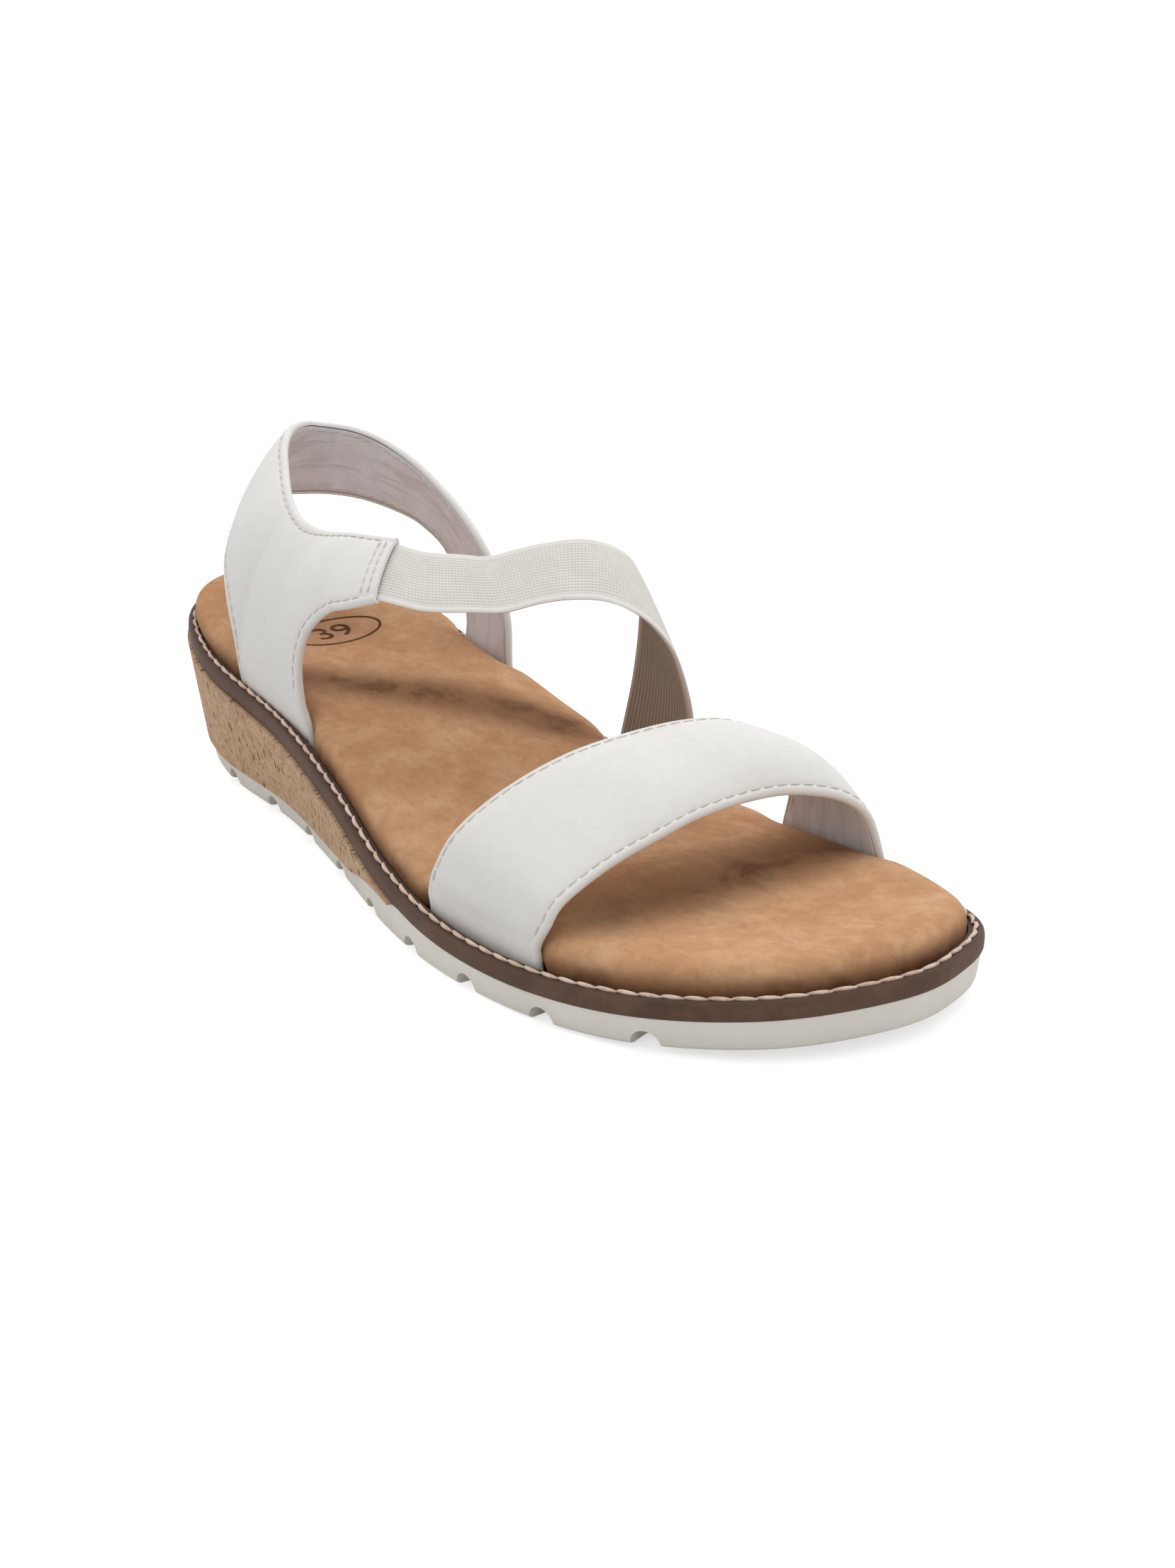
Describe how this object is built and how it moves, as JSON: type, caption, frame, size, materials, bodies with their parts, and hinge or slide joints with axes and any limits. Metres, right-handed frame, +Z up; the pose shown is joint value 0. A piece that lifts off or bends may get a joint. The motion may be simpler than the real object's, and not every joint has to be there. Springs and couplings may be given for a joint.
{
  "type": "wedge sandal",
  "caption": "Right-foot wedge sandal with a cork-wrapped sole, stitched welt, contoured suede footbed, padded vamp strap and a heel strap held by an elastic.",
  "frame": {"origin": "under the middle of the bounding box, on the ground the sandal stands on", "axes": "+X along the foot towards the toe, +Y towards the inner side of the foot (the wearer's left), +Z up"},
  "size_m": [0.2604, 0.0948, 0.0832],
  "materials": {
    "outsole_rubber": "matte",
    "wedge_foam": "matte",
    "cork": "matte",
    "shank_steel": "satin",
    "welt_leather": "satin",
    "board": "matte",
    "footbed_foam": "matte",
    "suede": "matte",
    "welt_thread": "matte",
    "strap_leather": "satin",
    "padding_foam": "matte",
    "lining": "matte",
    "strap_thread": "matte",
    "elastic": "matte"
  },
  "bodies": {
    "sole": {"outsole": "outsole_rubber", "wedge_core": "wedge_foam", "cork_wrap": "cork", "shank": "shank_steel", "welt": "welt_leather", "insole_board": "board", "footbed_foam": "footbed_foam", "footbed_cover": "suede", "welt_thread": "welt_thread", "vamp_leather": "strap_leather", "vamp_padding": "padding_foam", "vamp_lining": "lining", "vamp_front_thread": "strap_thread", "elastic_strap": "elastic", "vamp_rear_thread": "strap_thread", "outer_root_leather": "strap_leather", "outer_root_lining": "lining", "inner_root_leather": "strap_leather", "inner_root_lining": "lining"},
    "heel_strap": {"heel_strap_leather": "strap_leather", "heel_strap_padding": "padding_foam", "heel_strap_lining": "lining", "heel_strap_top_thread": "strap_thread", "heel_strap_lower_thread": "strap_thread", "tab_front_thread": "strap_thread", "tab_end_thread": "strap_thread"}
  },
  "joints": [
    {"name": "heel_strap_tilt", "type": "hinge", "parent": "sole", "child": "heel_strap", "pos_m": [-0.0582, -0.0014, 0.031], "axis": [0, 1, 0], "range_deg": [-14, 8], "stiffness_Nm_per_rad": 0.6, "deforming": ["elastic_strap"]}
  ]
}
